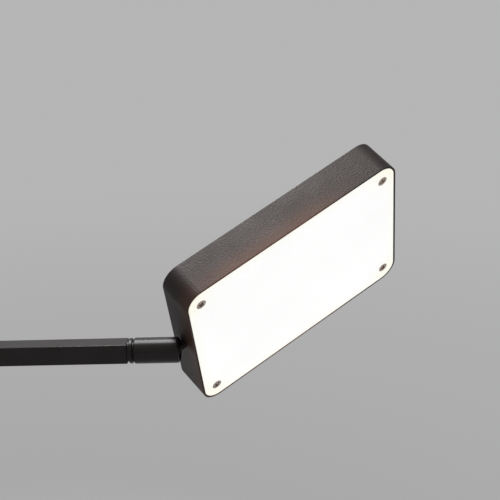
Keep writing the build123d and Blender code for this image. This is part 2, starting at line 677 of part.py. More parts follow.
# ---- elbow and stem head ----
def swing_hub():
    """Turned hub with a fork for the arm's tongue and a hollow spigot down into the stem."""
    radius = HUB_DIAMETER / 2
    hub = post(HUB_DIAMETER, -HUB_DROP, CHEEK_RISE)
    hub &= pin(2 * CHEEK_RISE, -radius, radius) + Pos(-radius, 0, -HUB_DROP) * bar(
        HUB_DIAMETER, HUB_DIAMETER, HUB_DROP)
    hub = chamfer(hub.faces().sort_by(Axis.Z)[0].edges(), COLLAR_CHAMFER)
    hub -= bar(HUB_DIAMETER, SLOT_WIDTH, SLOT_DROP + CHEEK_RISE, -radius, 0, -SLOT_DROP)
    hub -= pin(ELBOW_BOLT + 2 * RUN_FIT, -radius, radius)
    for side in (-1, 1):
        flat = bar(HUB_DIAMETER, radius, 2 * CHEEK_RISE, -radius, side * (cheek_half() + radius / 2),
                   -CHEEK_RISE)
        hub -= flat
    bottom = -HUB_DROP - FACE_GAP - SWING_RING - BOSS_LENGTH - TOP_PLUG_LENGTH
    end = bottom - SWING_WASHER - SWING_NUT_LENGTH - SPIGOT_SPARE
    hub += post(SWING_SPIGOT, end, -HUB_DROP)
    return hub - post(SWING_BORE, end, -SLOT_DROP)


def cheek_half():
    """Half the width over the fork's two flats."""
    return HUB_DIAMETER / 2 - CHEEK_FLAT


def elbow_bolt():
    """Shoulder bolt across the fork with a hexagon socket in its round head."""
    half = cheek_half()
    bolt = pin(ELBOW_HEAD, -half - ELBOW_HEAD_HEIGHT, -half)
    bolt += pin(ELBOW_BOLT, -half, half + ELBOW_HEAD_HEIGHT)
    socket = Rot(-90, 0, 0) * extrude(RegularPolygon(ELBOW_SOCKET / 2, 6), ELBOW_SOCKET_DEPTH)
    return bolt - Pos(0, -half - ELBOW_HEAD_HEIGHT, 0) * socket


def elbow_nut():
    """Round-topped hexagon nut on the bolt's end."""
    half = cheek_half()
    top = half + ELBOW_HEAD_HEIGHT + ELBOW_NUT_DOME
    nut = Pos(0, half, 0) * Rot(-90, 0, 0) * extrude(RegularPolygon(ELBOW_NUT / 2, 6), top - half)
    wide = ELBOW_NUT / 2 + CLEAR
    nut &= turned_y([(half, wide), (top - ELBOW_NUT_DOME, wide), (top, ELBOW_NUT_TOP / 2)])
    return nut - pin(ELBOW_BOLT, half, half + ELBOW_HEAD_HEIGHT)


def turned_y(points):
    """Solid turned about Y, from the (y, radius) points of its side."""
    start, end = points[0][0], points[-1][0]
    return Rot(0, 0, 90) * turned([(start, 0), *points, (end, 0)])


def swing_ring():
    bottom = HUB_BOTTOM - FACE_GAP - SWING_RING
    ring = post(SWING_RING_DIAMETER, bottom, bottom + SWING_RING)
    return on_stem(ring - post(SWING_SPIGOT + 2 * RUN_FIT, bottom, bottom + SWING_RING))


def stem_top_plug():
    """Square plug in the stem's top with a round boss and a plain bearing bore."""
    side = STEM_SIDE - 2 * STEM_WALL - 2 * SLIP
    bottom = STEM_TOP - TOP_PLUG_LENGTH
    plug = slab(side, side, STEM_CORNER, bottom, STEM_TOP)
    plug += post(BOSS_DIAMETER, STEM_TOP, STEM_TOP + BOSS_LENGTH)
    return on_stem(plug - post(SWING_SPIGOT + 2 * RUN_FIT, bottom, STEM_TOP + BOSS_LENGTH))


def swing_washer():
    top = STEM_TOP - TOP_PLUG_LENGTH - FACE_GAP
    washer = dished_washer(top - SWING_WASHER, top, SWING_NUT, SWING_SPIGOT + 2 * SLIP)
    return on_stem(upright(washer))


def swing_nut():
    """Round slotted nut on the hub's spigot."""
    top = STEM_TOP - TOP_PLUG_LENGTH - FACE_GAP - SWING_WASHER
    bottom = top - SWING_NUT_LENGTH
    nut = post(SWING_NUT, bottom, top) - post(SWING_SPIGOT, bottom, top)
    slot = bar(2 * SWING_NUT, NUT_SLOT_WIDTH, NUT_SLOT_DEPTH, -SWING_NUT, 0, bottom)
    return on_stem(nut - slot)


# ---- stem ----
def stem_tube():
    inside = STEM_SIDE - 2 * STEM_WALL
    tube = slab(STEM_SIDE, STEM_SIDE, STEM_CORNER, STEM_BOTTOM, STEM_TOP)
    return on_stem(tube - slab(inside, inside, STEM_CORNER, STEM_BOTTOM, STEM_TOP))


def stem_foot():
    """Turned foot: square plug in the stem, tapered flange on the cover, bolt through the plate."""
    side = STEM_SIDE - 2 * STEM_WALL - 2 * SLIP
    radius = FOOT_DIAMETER / 2
    bolt = FOOT_BOLT / 2
    bolt_end = PAD_THICKNESS + CLEAR
    outline = [(bolt_end, 0), (bolt_end, bolt), (BASE_HEIGHT, bolt), (BASE_HEIGHT, radius),
               (BASE_HEIGHT + FOOT_RIM, radius), (STEM_BOTTOM, radius - FOOT_TAPER), (STEM_BOTTOM, 0)]
    foot = upright(turned(outline)) + slab(side, side, STEM_CORNER, STEM_BOTTOM, STEM_BOTTOM + FOOT_PLUG)
    wires = post(FOOT_WIRE_BORE, PLATE_TOP, STEM_BOTTOM + FOOT_PLUG)
    return on_stem(foot - wires - wire_door(FOOT_BOLT))


def wire_door(length):
    """Round cutter across the foot, where the wires leave it above the plate."""
    return Pos(0, 0, PLATE_TOP + WIRE_DOOR_RISE) * rod(WIRE_DOOR, -length / 2, length / 2)


def stem_spacer():
    """Tube between the plate and the cover that takes the stem nut's pull."""
    ring = post(SPACER_DIAMETER, PLATE_TOP, COVER_INSIDE)
    ring -= post(FOOT_BOLT + 2 * SLIP, PLATE_TOP, COVER_INSIDE)
    return on_stem(ring - wire_door(SPACER_DIAMETER + FOOT_BOLT))


def stem_washer():
    bottom = WELL_TOP - STEM_WASHER
    washer = post(STEM_WASHER_DIAMETER, bottom, WELL_TOP)
    return on_stem(washer - post(FOOT_BOLT + 2 * SLIP, bottom, WELL_TOP))


def stem_nut():
    """Thin hexagon nut in the pocket under the plate."""
    nut = extrude(RegularPolygon(STEM_NUT / 2, 6, major_radius=False), STEM_NUT_HEIGHT)
    return on_stem(Pos(0, 0, PAD_THICKNESS) * (nut - post(FOOT_BOLT, 0, STEM_NUT_HEIGHT)))


# ---- base ----
def cover_screw_places():
    x = BASE_LENGTH / 2 - COVER_SCREW_INSET
    y = BASE_WIDTH / 2 - COVER_SCREW_INSET
    return corners(x, y)


def base_plate():
    """Heavy steel plate, bored and pocketed for the stem and the cover screws."""
    cut = COVER_WALL + PLATE_GAP
    plate = slab(BASE_LENGTH - 2 * cut, BASE_WIDTH - 2 * cut, BASE_CORNER - cut, PAD_THICKNESS, PLATE_TOP)
    plate -= on_stem(post(FOOT_BOLT + 2 * SLIP, PAD_THICKNESS, PLATE_TOP))
    plate -= on_stem(post(WELL_DIAMETER, PAD_THICKNESS, WELL_TOP))
    hole = post(COVER_SCREW + 2 * SLIP, PAD_THICKNESS, PLATE_TOP)
    hole += post(COVER_SCREW_HEAD + 2 * CLEAR, PAD_THICKNESS, COVER_SCREW_SEAT)
    for place in each_at(hole, cover_screw_places()):
        plate -= place
    return plate


def base_cover():
    """Thin cover with rounded top edges, screw bosses, and holes for stem, button and cord."""
    cover = slab(BASE_LENGTH, BASE_WIDTH, BASE_CORNER, SKIRT_LIFT, BASE_HEIGHT)
    cover = fillet(cover.faces().sort_by(Axis.Z)[-1].edges(), BASE_EDGE)
    cover -= slab(BASE_LENGTH - 2 * COVER_WALL, BASE_WIDTH - 2 * COVER_WALL, BASE_CORNER - COVER_WALL,
                  SKIRT_LIFT, COVER_INSIDE)
    for place in each_at(post(COVER_BOSS, PLATE_TOP, COVER_INSIDE), cover_screw_places()):
        cover += place
    for place in each_at(post(COVER_SCREW, PLATE_TOP, COVER_SCREW_TIP + HOLE_SPARE), cover_screw_places()):
        cover -= place
    cover -= on_stem(post(FOOT_BOLT + 2 * SLIP, COVER_INSIDE, BASE_HEIGHT))
    cover -= Pos(BUTTON_X, 0, 0) * post(BUTTON_DIAMETER + 2 * CLEAR, COVER_INSIDE, BASE_HEIGHT)
    return cover - at_gland(pin(GLAND_DIAMETER + 2 * SLIP, -COVER_WALL, COVER_WALL))


def cover_screws():
    """Hexagon socket screws up through the plate into the cover's bosses."""
    one = post(COVER_SCREW_HEAD, PAD_THICKNESS, COVER_SCREW_SEAT)
    one += post(COVER_SCREW, COVER_SCREW_SEAT, COVER_SCREW_TIP)
    socket = Pos(0, 0, PAD_THICKNESS) * extrude(RegularPolygon(COVER_SOCKET / 2, 6), COVER_SOCKET_DEPTH)
    return group(each_at(one - socket, cover_screw_places()))


def foot_pad():
    """Rubber sheet under the plate, with holes over the screws."""
    cut = COVER_WALL + PLATE_GAP + PAD_MARGIN
    pad = slab(BASE_LENGTH - 2 * cut, BASE_WIDTH - 2 * cut, BASE_CORNER - cut, 0, PAD_THICKNESS)
    for place in each_at(post(COVER_SCREW_HEAD + 2 * HEAD_ROOM, 0, PAD_THICKNESS), cover_screw_places()):
        pad -= place
    return pad


# ---- switch and driver ----
def button_cap():
    """Push button with a domed top, a flange under the cover and a stem above the switch."""
    top = BASE_HEIGHT + BUTTON_PROUD
    flange_bottom = FLANGE_TOP - BUTTON_FLANGE
    cap = post(BUTTON_DIAMETER, flange_bottom, top)
    cap &= Pos(0, 0, top - BUTTON_DOME) * Sphere(BUTTON_DOME)
    cap += post(BUTTON_DIAMETER + 2 * BUTTON_FLANGE_RIM, flange_bottom, FLANGE_TOP)
    cap += post(BUTTON_STEM, switch_gap_top(), flange_bottom)
    return Pos(BUTTON_X, 0, 0) * cap


def switch_gap_top():
    """Underside of the button's stem: one travel above the switch's own plunger."""
    return SWITCH_TOP + BUTTON_TRAVEL + CLEAR


def button_spring():
    length = FLANGE_TOP - BUTTON_FLANGE - SWITCH_TOP
    spring = coil(SPRING_DIAMETER, BUTTON_WIRE, length, SPRING_TURNS)
    return Pos(BUTTON_X, 0, SWITCH_TOP) * spring


def switch_body():
    """Square push switch on the driver board."""
    body = Box(SWITCH_SIDE, SWITCH_SIDE, SWITCH_HEIGHT, align=(Align.CENTER, Align.CENTER, Align.MIN))
    body = chamfer(body.faces().sort_by(Axis.Z)[-1].edges(), SWITCH_BEVEL)
    return Pos(BUTTON_X, 0, DRIVER_TOP) * body


def driver_hole_places():
    half_length = DRIVER_LENGTH / 2 - DRIVER_HOLE_INSET
    half_width = DRIVER_WIDTH / 2 - DRIVER_HOLE_INSET
    return [(BOARD_X + x, y) for x, y in corners(half_length, half_width)]


def driver_board():
    board = slab(DRIVER_LENGTH, DRIVER_WIDTH, DRIVER_CORNER, BOARD_LEVEL, DRIVER_TOP)
    board = Pos(BOARD_X, 0, 0) * board
    for place in each_at(post(DRIVER_SCREW + 2 * SLIP, BOARD_LEVEL, DRIVER_TOP), driver_hole_places()):
        board -= place
    return board


def board_posts():
    """Short hexagon posts between plate and board."""
    one = Pos(0, 0, PLATE_TOP) * extrude(RegularPolygon(POST_SIZE / 2, 6), POST_HEIGHT)
    one -= post(DRIVER_SCREW, PLATE_TOP, BOARD_LEVEL)
    return group(each_at(one, driver_hole_places()))


def driver_screws():
    length = DRIVER_THICKNESS + POST_HEIGHT - CLEAR
    one = Pos(0, 0, DRIVER_TOP) * screw(DRIVER_SCREW, DRIVER_SCREW_HEAD, DRIVER_SCREW_RISE, length)
    return group(each_at(one, driver_hole_places()))


def driver_parts():
    """Capacitor, choke, control chip and terminal block of the driver."""
    can = Pos(0, 0, CAN_DIAMETER / 2) * rod(CAN_DIAMETER, -CAN_LENGTH / 2, CAN_LENGTH / 2)
    choke = post(CHOKE_DIAMETER, 0, CHOKE_HEIGHT) - post(CHOKE_HOLE, 0, CHOKE_HEIGHT)
    standing = (Align.CENTER, Align.CENTER, Align.MIN)
    chip = Box(*CHIP_SIZE, align=standing)
    block = Box(*BLOCK_SIZE, align=standing)
    block = chamfer(block.edges().filter_by(Axis.X).group_by(Axis.Z)[-1], BLOCK_BEVEL)
    placed = ((can, CAN_PLACE), (choke, CHOKE_PLACE), (chip, CHIP_PLACE), (block, BLOCK_PLACE))
    return group(Pos(BOARD_X + x, y, DRIVER_TOP) * piece for piece, (x, y) in placed)


# ---- cord inlet ----
def at_gland(piece):
    """Puts a piece made along Y, its flange face at zero, on the cover's rear wall."""
    return Pos(BOARD_X, BASE_WIDTH / 2, GLAND_HEIGHT) * piece


def cord_gland():
    """Flanged inlet bush with the cord's bore through it."""
    inner = -COVER_WALL - GLAND_LENGTH + GLAND_PROUD
    gland = turned_y([(inner, GLAND_DIAMETER / 2), (0, GLAND_DIAMETER / 2), (0, GLAND_FLANGE / 2),
                      (GLAND_PROUD - GLAND_BEVEL, GLAND_FLANGE / 2),
                      (GLAND_PROUD, GLAND_FLANGE / 2 - GLAND_BEVEL)])
    return at_gland(gland - pin(GLAND_BORE, inner, GLAND_PROUD))


def gland_nut():
    """Hexagon nut on the bush, inside the cover."""
    nut = Rot(90, 0, 0) * extrude(RegularPolygon(GLAND_NUT / 2, 6), GLAND_NUT_LENGTH)
    nut -= pin(GLAND_DIAMETER, -GLAND_NUT_LENGTH, 0)
    return at_gland(Pos(0, -COVER_WALL, 0) * nut)


# ---- the pieces and where they stand ----
HEAD_PIECES = [head_housing, diffuser_plate, diffuser_screws, face_gasket, heat_spreader, led_board,
               led_chips, board_screws, reflector_frame, wire_connector, tilt_bracket, bracket_screws]
COLLAR_PIECES = [knuckle_core, tilt_pin, collar_sleeve, friction_shoe, shoe_spring, swivel_washer,
                 swivel_nut]
ARM_END_PIECES = [swivel_ring, arm_end_plug]
ELBOW_PIECES = [arm_root_tongue, elbow_washers, swing_hub, elbow_bolt, elbow_nut]
STANDING_PIECES = [arm_tube, swing_ring, stem_top_plug, swing_washer, swing_nut, stem_tube, stem_foot,
                   stem_spacer, stem_washer, stem_nut, base_plate, base_cover, cover_screws, foot_pad,
                   button_cap, button_spring, switch_body, driver_board, board_posts, driver_screws,
                   driver_parts, cord_gland, gland_nut]


for pieces, place in ((HEAD_PIECES, at_head), (COLLAR_PIECES, at_collar), (ARM_END_PIECES, at_arm_end),
                      (ELBOW_PIECES, at_elbow), (STANDING_PIECES, in_place)):
    for make in pieces:
        save(make.__name__, place(make()))
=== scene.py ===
import json
import logging
import math
from dataclasses import dataclass, field
from enum import Enum

import bmesh
import bpy
from mathutils import Matrix, Vector


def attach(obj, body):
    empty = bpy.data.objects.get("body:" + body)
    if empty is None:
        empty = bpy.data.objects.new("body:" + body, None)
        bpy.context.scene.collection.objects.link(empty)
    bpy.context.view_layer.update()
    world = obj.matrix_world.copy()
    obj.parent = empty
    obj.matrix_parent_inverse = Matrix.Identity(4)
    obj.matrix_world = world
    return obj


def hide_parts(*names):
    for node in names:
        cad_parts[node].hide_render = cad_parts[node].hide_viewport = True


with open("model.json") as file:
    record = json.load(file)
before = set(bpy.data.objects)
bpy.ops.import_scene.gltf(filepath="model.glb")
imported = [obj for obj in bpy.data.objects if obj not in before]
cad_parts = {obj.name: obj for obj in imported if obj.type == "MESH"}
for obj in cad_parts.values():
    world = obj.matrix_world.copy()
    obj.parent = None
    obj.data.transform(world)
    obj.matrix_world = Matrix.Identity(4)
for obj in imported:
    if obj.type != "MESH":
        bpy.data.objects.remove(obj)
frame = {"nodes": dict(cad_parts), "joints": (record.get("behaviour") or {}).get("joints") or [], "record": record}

log = logging.getLogger("piano_lamp")

MM = 0.001
Colour = tuple[float, float, float]

NOISE_MIDDLE = (0.3, 0.7)              # where most of a noise's values lie
NOISE_ROUGHNESS = 0.55
CLOUD_STOPS = (0.35, 0.65)             # where a finish's clouds are fully dark and fully light
FINE_DETAIL = 2.0
DRAWN_STRETCH = (0.08, 1.0, 1.0)       # drawn grain is long along the piece
NO_STRETCH = (1.0, 1.0, 1.0)
EDGE_SAMPLES = 6


def joint(name: str) -> dict:
    """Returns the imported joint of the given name."""
    return next(entry for entry in frame["joints"] if entry["name"] == name)


class Grain(Enum):
    """How the fine relief of a surface is laid."""

    EVEN = "even"          # powder, moulding or casting: the same every way
    DRAWN = "drawn"        # rolled or brushed along the piece


class Graph:
    """A material's node tree, with short calls for the nodes that the finishes share."""

    def __init__(self, name: str) -> None:
        """Starts an empty material with its output and principled shader.

        Args:
            name: the material's name.
        """
        self.material = bpy.data.materials.new(name)
        self.material.use_nodes = True
        self.tree = self.material.node_tree
        self.tree.nodes.clear()
        self.output = self.tree.nodes.new("ShaderNodeOutputMaterial")
        self.shader = self.tree.nodes.new("ShaderNodeBsdfPrincipled")
        self.link(self.shader.outputs["BSDF"], self.output.inputs["Surface"])
        self.coordinates = self.tree.nodes.new("ShaderNodeTexCoord")

    def link(self, source: bpy.types.NodeSocket, target: bpy.types.NodeSocket) -> None:
        """Joins two sockets."""
        self.tree.links.new(source, target)

    def stretched(self, stretch: Colour) -> bpy.types.NodeSocket:
        """Object coordinates scaled along each axis.

        Args:
            stretch: scale along X, Y and Z.

        Returns:
            The vector socket.
        """
        mapping = self.tree.nodes.new("ShaderNodeMapping")
        mapping.inputs["Scale"].default_value = stretch
        self.link(self.coordinates.outputs["Object"], mapping.inputs["Vector"])
        return mapping.outputs["Vector"]

    def noise(self, size: float, detail: float = 3.0, stretch: Colour = NO_STRETCH) -> bpy.types.NodeSocket:
        """Cloudy noise whose spots are about the given size.

        Args:
            size: spot size in metres.
            detail: octaves.
            stretch: scale along each axis.

        Returns:
            The noise's value socket.
        """
        node = self.tree.nodes.new("ShaderNodeTexNoise")
        node.inputs["Scale"].default_value = 1.0 / size
        node.inputs["Detail"].default_value = detail
        node.inputs["Roughness"].default_value = NOISE_ROUGHNESS
        self.link(self.stretched(stretch), node.inputs["Vector"])
        return node.outputs["Fac"]

    def ramp(self, value: bpy.types.NodeSocket, low: tuple[float, Colour],
             high: tuple[float, Colour]) -> bpy.types.NodeSocket:
        """Turns a value into a colour between two stops.

        Args:
            value: the driving socket.
            low: position and colour of the first stop.
            high: position and colour of the last stop.

        Returns:
            The colour socket.
        """
        node = self.tree.nodes.new("ShaderNodeValToRGB")
        for element, (place, colour) in zip(node.color_ramp.elements, (low, high)):
            element.position = place
            element.color = (*colour, 1.0)
        self.link(value, node.inputs["Fac"])
        return node.outputs["Color"]

    def mapped(self, value: bpy.types.NodeSocket, start: tuple[float, float],
               end: tuple[float, float] = (0.0, 1.0), smooth: bool = False) -> bpy.types.NodeSocket:
        """Maps one range of values to another and holds it there at both ends.

        Args:
            value: the driving socket.
            start: the range that it comes in.
            end: the range that it goes out in.
            smooth: whether it eases in and out.

        Returns:
            The mapped value's socket.
        """
        node = self.tree.nodes.new("ShaderNodeMapRange")
        node.interpolation_type = "SMOOTHSTEP" if smooth else "LINEAR"
        names = ("From Min", "From Max", "To Min", "To Max")
        for name, number in zip(names, (*start, *end)):
            node.inputs[name].default_value = number
        self.link(value, node.inputs["Value"])
        return node.outputs["Result"]

    def spread(self, value: bpy.types.NodeSocket, low: float, high: float) -> bpy.types.NodeSocket:
        """Maps a noise's middle range to low and high."""
        return self.mapped(value, NOISE_MIDDLE, (low, high))

    def faded(self, value: bpy.types.NodeSocket, near: float, far: float) -> bpy.types.NodeSocket:
        """Falls smoothly from one at near to zero at far."""
        return self.mapped(value, (near, far), (1.0, 0.0), smooth=True)

    def relief(self, value: bpy.types.NodeSocket, height: float, edge: float) -> None:
        """Adds fine relief, and a small radius along sharp edges.

        Args:
            value: height pattern.
            height: depth of the pattern in metres.
            edge: radius of the softened edges in metres.
        """
        bump = self.tree.nodes.new("ShaderNodeBump")
        bump.inputs["Strength"].default_value = 1.0
        bump.inputs["Distance"].default_value = height
        self.link(value, bump.inputs["Height"])
        bevel = self.tree.nodes.new("ShaderNodeBevel")
        bevel.samples = EDGE_SAMPLES
        bevel.inputs["Radius"].default_value = edge
        self.link(bevel.outputs["Normal"], bump.inputs["Normal"])
        self.link(bump.outputs["Normal"], self.shader.inputs["Normal"])

    def mixed(self, share: bpy.types.NodeSocket, first: bpy.types.NodeSocket,
              second: Colour) -> bpy.types.NodeSocket:
        """Mixes a colour socket towards a plain colour.

        Args:
            share: how much of the second colour shows.
            first: the colour underneath.
            second: the colour laid over it.

        Returns:
            The mixed colour's socket.
        """
        node = self.tree.nodes.new("ShaderNodeMix")
        node.data_type = "RGBA"
        self.link(share, node.inputs["Factor"])
        self.link(first, node.inputs["A"])
        node.inputs["B"].default_value = (*second, 1.0)
        return node.outputs["Result"]

    def math(self, operation: str, first: bpy.types.NodeSocket | float,
             second: bpy.types.NodeSocket | float = 0.0) -> bpy.types.NodeSocket:
        """Adds one math node.

        Args:
            operation: the node's operation.
            first: its first value or socket.
            second: its second value or socket.

        Returns:
            The result's socket.
        """
        node = self.tree.nodes.new("ShaderNodeMath")
        node.operation = operation
        for socket, value in zip(node.inputs, (first, second)):
            if isinstance(value, float):
                socket.default_value = value
            else:
                self.link(value, socket)
        return node.outputs["Value"]

    def set(self, **values: float) -> None:
        """Sets plain numbers on the shader's sockets, with spaces in their names as underscores."""
        for name, value in values.items():
            self.shader.inputs[name.replace("_", " ")].default_value = value


@dataclass(frozen=True)
class HeadAxes:
    """The head's own axes as it stands, with the middle of the lit face as origin.

    Attributes:
        centre: middle of the lit face.
        along: unit vector along the head, away from the arm.
        across: unit vector along the tilt pin.
        inward: unit vector from the lit face into the head.
        half_length: half the plate's length.
        half_width: half the plate's width.
    """

    centre: Vector
    along: Vector
    across: Vector
    inward: Vector
    half_length: float
    half_width: float

    @classmethod
    def measured(cls) -> "HeadAxes":
        """Works the axes out from the tilt joint and the plate.

        Returns:
            The axes of the head at rest.
        """
        across = Vector(joint("head_tilt")["axis"]).normalized()
        plate = frame["nodes"]["diffuser_plate"].data
        widest = max(plate.polygons, key=lambda face: face.area * (face.normal.z < 0.0))
        inward = -widest.normal.normalized()
        along = across.cross(inward).normalized()
        points = [vertex.co for vertex in plate.vertices]
        spans = [(min(p @ axis for p in points), max(p @ axis for p in points)) for axis in (along, across)]
        depth = min(p @ inward for p in points)
        centre = inward * depth
        for axis, (low, high) in zip((along, across), spans):
            centre += axis * (low + high) / 2
        halves = [(high - low) / 2 for low, high in spans]
        return cls(centre, along, across, inward, *halves)

    def turn(self) -> Matrix:
        """Returns the matrix that takes world directions to the head's."""
        return Matrix((self.along, self.across, self.inward))

    def place(self) -> Matrix:
        """Returns the matrix that puts a piece made on the head's axes where the head stands."""
        return Matrix.Translation(self.centre) @ self.turn().transposed().to_4x4()

    def coordinates(self, graph: Graph) -> bpy.types.Node:
        """Adds the nodes that give a surface point in the head's axes.

        Args:
            graph: the material being built.

        Returns:
            The node whose outputs X, Y and Z are the coordinates.
        """
        mapping = graph.tree.nodes.new("ShaderNodeMapping")
        mapping.inputs["Rotation"].default_value = self.turn().to_euler()
        mapping.inputs["Location"].default_value = -(self.turn() @ self.centre)
        graph.link(graph.coordinates.outputs["Object"], mapping.inputs["Vector"])
        parts = graph.tree.nodes.new("ShaderNodeSeparateXYZ")
        graph.link(mapping.outputs["Vector"], parts.inputs["Vector"])
        return parts


@dataclass(frozen=True)
class Finish:
    """A surface finish with colour variation, uneven gloss and fine relief."""

    name: str
    dark: Colour
    light: Colour
    roughness: tuple[float, float] = (0.4, 0.5)
    metallic: float = 0.0
    patch: float = 0.02
    grain_size: float = 0.0004
    grain_height: float = 0.00002
    edge: float = 0.0003
    grain: Grain = Grain.EVEN
    specular: float = 0.5
    sheen: Colour = (1.0, 1.0, 1.0)

    def material(self) -> bpy.types.Material:
        """Builds the material.

        Returns:
            The new material.
        """
        graph = Graph(self.name)
        stretch = DRAWN_STRETCH if self.grain is Grain.DRAWN else NO_STRETCH
        clouds = graph.noise(self.patch)
        low, high = zip(CLOUD_STOPS, (self.dark, self.light))
        graph.link(graph.ramp(clouds, low, high), graph.shader.inputs["Base Color"])
        fine = graph.noise(self.grain_size, detail=FINE_DETAIL, stretch=stretch)
        graph.link(graph.spread(clouds, *self.roughness), graph.shader.inputs["Roughness"])
        graph.relief(fine, self.grain_height, edge=self.edge)
        graph.set(Metallic=self.metallic, Specular_IOR_Level=self.specular)
        graph.shader.inputs["Specular Tint"].default_value = (*self.sheen, 1.0)
        self.extra(graph)
        return graph.material

    def extra(self, graph: Graph) -> None:
        """Adds what only one kind of finish has."""


@dataclass(frozen=True)
class PowderCoat(Finish):
    """Baked powder: fine pebbled grain with sparse brighter specks.

    Attributes:
        speck: the specks' colour.
        speck_size: their size, as a share of the grain's.
        speck_detail: octaves of their pattern.
        speck_share: how much of their colour shows, from where the pattern is weak to where it is strong.
    """

    dark: Colour = (0.0075, 0.0048, 0.004)
    light: Colour = (0.0105, 0.0072, 0.006)
    roughness: tuple[float, float] = (0.5, 0.58)
    grain_size: float = 0.001
    grain_height: float = 0.00015
    sheen: Colour = (1.0, 0.895, 0.87)
    speck: Colour = (0.045, 0.038, 0.034)
    speck_size: float = 0.8
    speck_detail: float = 1.0
    speck_share: tuple[float, float] = (-0.9, 0.35)

    def extra(self, graph: Graph) -> None:
        """Adds the specks of the powder.

        Args:
            graph: the material being built.
        """
        specks = graph.noise(self.grain_size * self.speck_size, detail=self.speck_detail)
        share = graph.spread(specks, *self.speck_share)
        base = graph.shader.inputs["Base Color"].links[0].from_socket
        graph.link(graph.mixed(share, base, self.speck), graph.shader.inputs["Base Color"])


@dataclass(frozen=True)
class PaintedGlowCoat(PowderCoat):
    """The head's powder coat with a painted warm glow: its long sides glow near the lit face, as emission on the
    housing in place of light from the plate's edge.

    Attributes:
        painted_rim_glow: the painted glow's colour.
        strength: how strong it is.
        reach: how far it goes from the lit face, in metres.
        full_length: where it starts to fade along the head, as a share of half the plate's length.
        middle: where it is strongest along the head, as the same share.
    """

    painted_rim_glow: Colour = (1.0, 0.32, 0.1)
    strength: float = 0.066
    reach: float = 0.014
    full_length: float = 0.3
    middle: float = -0.22

    def extra(self, graph: Graph) -> None:
        """Adds the specks and the painted warm glow along the rim.

        Args:
            graph: the material being built.
        """
        super().extra(graph)
        axes = HeadAxes.measured()
        place = axes.coordinates(graph)
        # Painted light: the housing glows near the lit face, strongest near the middle of its long sides, in place
        # of the plate's warm light.
        near = graph.faded(place.outputs["Z"], 0.0, self.reach)
        offset = graph.math("SUBTRACT", place.outputs["X"], axes.half_length * self.middle)
        along = graph.math("ABSOLUTE", offset)
        middle = graph.faded(along, axes.half_length * self.full_length, axes.half_length)
        lit = graph.math("MULTIPLY", graph.math("MULTIPLY", near, middle), self.strength)
        graph.link(lit, graph.shader.inputs["Emission Strength"])
        graph.shader.inputs["Emission Color"].default_value = (*self.painted_rim_glow, 1.0)


@dataclass(frozen=True)
class OpalPlate(Finish):
    """White opal plate lit from behind, a touch warmer towards its edge and warmest in the corners.

    Attributes:
        glow: how strongly the plate shines.
        edge_glow: the light's colour at the edge.
        edge_share: how much of that colour shows along a straight edge.
        edge_reach: how far it goes inward from an edge, in metres.
        corner_reach: how far it goes inward from a corner, in metres.
    """

    glow: float = 0.73
    edge_glow: Colour = (0.97, 0.935, 0.73)
    edge_share: float = 0.4
    edge_reach: float = 0.008
    corner_reach: float = 0.034

    def extra(self, graph: Graph) -> None:
        """Adds the light that comes through the plate.

        Args:
            graph: the material being built.
        """
        axes = HeadAxes.measured()
        place = axes.coordinates(graph)
        from_end = graph.math("SUBTRACT", axes.half_length, graph.math("ABSOLUTE", place.outputs["X"]))
        from_side = graph.math("SUBTRACT", axes.half_width, graph.math("ABSOLUTE", place.outputs["Y"]))
        edge = graph.faded(graph.math("MINIMUM", from_end, from_side), 0.0, self.edge_reach)
        corner = graph.faded(graph.math("ADD", from_end, from_side), 0.0, self.corner_reach)
        share = graph.math("MAXIMUM", graph.math("MULTIPLY", edge, self.edge_share), corner)
        base = graph.shader.inputs["Base Color"].links[0].from_socket
        graph.link(graph.mixed(share, base, self.edge_glow), graph.shader.inputs["Emission Color"])
        graph.set(Emission_Strength=self.glow)


